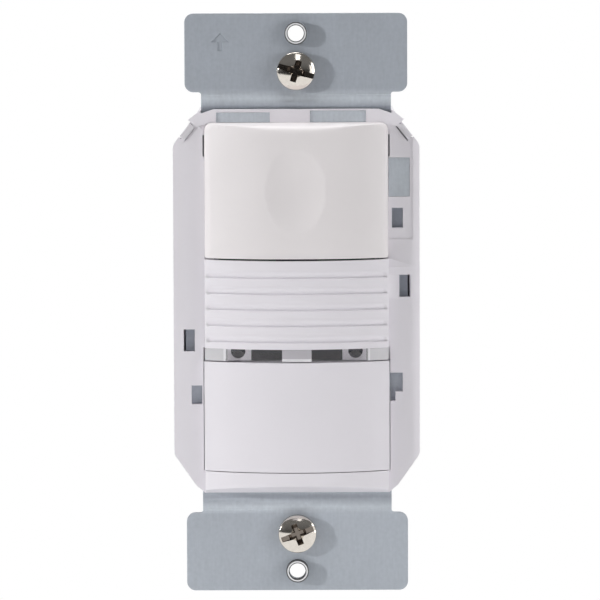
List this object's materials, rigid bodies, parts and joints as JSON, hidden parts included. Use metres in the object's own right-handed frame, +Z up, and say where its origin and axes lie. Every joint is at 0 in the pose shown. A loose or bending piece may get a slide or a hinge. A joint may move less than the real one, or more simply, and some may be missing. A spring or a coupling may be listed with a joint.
{
  "type": "motion sensor light switch",
  "caption": "Decorator-size wall switch with a curved infrared motion lens, ribbed band, clear indicator strip and hinged on/off button on a steel mounting strap.",
  "frame": {"origin": "on the wall plane, at the rear of the strap's ears, midway between the two box screws, whose threads start 0.5 mm behind it", "axes": "+X to the right as seen from the room, +Y into the wall, +Z up"},
  "size_m": [0.0442, 0.0465, 0.104],
  "materials": {
    "galvanised_steel": "galvanised, satin",
    "nickel_steel": "nickel plated",
    "red_fibre": "pressed fibre",
    "white_plastic": "fine satin",
    "lens_plastic": "milky, satin",
    "clear_plastic": "clear moulded",
    "board": "green solder mask",
    "board_screw_steel": "zinc plated",
    "contact_brass": "gold flashed",
    "black_plastic": "moulded",
    "grey_plastic": "moulded",
    "ivory_plastic": "moulded",
    "sensor_steel": "nickel plated",
    "sensor_filter": "coated silicon",
    "blue_plastic": "moulded",
    "lamp_plastic": "tinted clear",
    "cell": "coated",
    "film_case": "moulded",
    "can_case": "sleeved",
    "varistor_coat": "dipped",
    "resistor_coat": "lacquered"
  },
  "bodies": {
    "base": {"mounting_strap": "galvanised_steel", "screw_retainers": "red_fibre", "front_cover": "white_plastic", "rear_housing": "white_plastic", "sensor_lens": "lens_plastic", "clear_strip": "clear_plastic", "control_board": "board", "power_board": "board", "control_board_screws": "board_screw_steel", "power_board_screws": "board_screw_steel", "board_link_pins": "contact_brass", "sensor_base": "contact_brass", "board_link_socket": "black_plastic", "push_switch_body": "black_plastic", "setting_block_left": "black_plastic", "setting_block_right": "black_plastic", "processor": "black_plastic", "sensor_spacer": "ivory_plastic", "sensor_can": "sensor_steel", "sensor_filter": "sensor_filter", "time_trimmer": "blue_plastic", "range_trimmer": "blue_plastic", "relay": "blue_plastic", "indicator_lamp": "lamp_plastic", "light_cell": "cell", "film_capacitor": "film_case", "electrolytic_capacitor": "can_case", "varistor": "varistor_coat", "fusible_resistor": "resistor_coat"},
    "button": {"on_off_button": "white_plastic"},
    "switch_plunger": {"push_switch_plunger": "grey_plastic"},
    "slider_left_1": {"slider_left_1": "ivory_plastic"},
    "slider_left_2": {"slider_left_2": "ivory_plastic"},
    "slider_left_3": {"slider_left_3": "ivory_plastic"},
    "slider_left_4": {"slider_left_4": "ivory_plastic"},
    "slider_right_1": {"slider_right_1": "ivory_plastic"},
    "slider_right_2": {"slider_right_2": "ivory_plastic"},
    "slider_right_3": {"slider_right_3": "ivory_plastic"},
    "slider_right_4": {"slider_right_4": "ivory_plastic"},
    "time_dial": {"time_dial": "grey_plastic"},
    "range_dial": {"range_dial": "grey_plastic"},
    "upper_screw": {"upper_mounting_screw": "nickel_steel"},
    "lower_screw": {"lower_mounting_screw": "nickel_steel"}
  },
  "joints": [
    {"name": "button_pivot", "type": "hinge", "parent": "base", "child": "button", "pos_m": [0, -0.004, -0.028], "axis": [-1, 0, 0], "range_deg": [0, 1.8], "stiffness_Nm_per_rad": 0.5},
    {"name": "plunger_slide", "type": "slide", "parent": "base", "child": "switch_plunger", "axis": [0, 1, 0], "range_m": [0, 0.00035]},
    {"name": "slider_left_1_slide", "type": "slide", "parent": "base", "child": "slider_left_1", "axis": [0, 0, 1], "range_m": [0, 0.001]},
    {"name": "slider_left_2_slide", "type": "slide", "parent": "base", "child": "slider_left_2", "axis": [0, 0, 1], "range_m": [0, 0.001]},
    {"name": "slider_left_3_slide", "type": "slide", "parent": "base", "child": "slider_left_3", "axis": [0, 0, 1], "range_m": [0, 0.001]},
    {"name": "slider_left_4_slide", "type": "slide", "parent": "base", "child": "slider_left_4", "axis": [0, 0, 1], "range_m": [0, 0.001]},
    {"name": "slider_right_1_slide", "type": "slide", "parent": "base", "child": "slider_right_1", "axis": [0, 0, 1], "range_m": [0, 0.001]},
    {"name": "slider_right_2_slide", "type": "slide", "parent": "base", "child": "slider_right_2", "axis": [0, 0, 1], "range_m": [0, 0.001]},
    {"name": "slider_right_3_slide", "type": "slide", "parent": "base", "child": "slider_right_3", "axis": [0, 0, 1], "range_m": [0, 0.001]},
    {"name": "slider_right_4_slide", "type": "slide", "parent": "base", "child": "slider_right_4", "axis": [0, 0, 1], "range_m": [0, 0.001]},
    {"name": "time_dial_turn", "type": "hinge", "parent": "base", "child": "time_dial", "pos_m": [-0.0105, 0, -0.00995], "axis": [0, -1, 0], "range_deg": [-135, 135]},
    {"name": "range_dial_turn", "type": "hinge", "parent": "base", "child": "range_dial", "pos_m": [0.0105, 0, -0.00995], "axis": [0, -1, 0], "range_deg": [-135, 135]},
    {"name": "upper_screw_turn", "type": "hinge", "parent": "base", "child": "upper_screw", "pos_m": [0, 0, 0.04165], "axis": [0, 1, 0], "continuous": true},
    {"name": "lower_screw_turn", "type": "hinge", "parent": "base", "child": "lower_screw", "pos_m": [0, 0, -0.04165], "axis": [0, 1, 0], "continuous": true}
  ],
  "couplings": [
    {"joint": "plunger_slide", "follows": "button_pivot", "m_per_rad": 0.011}
  ]
}
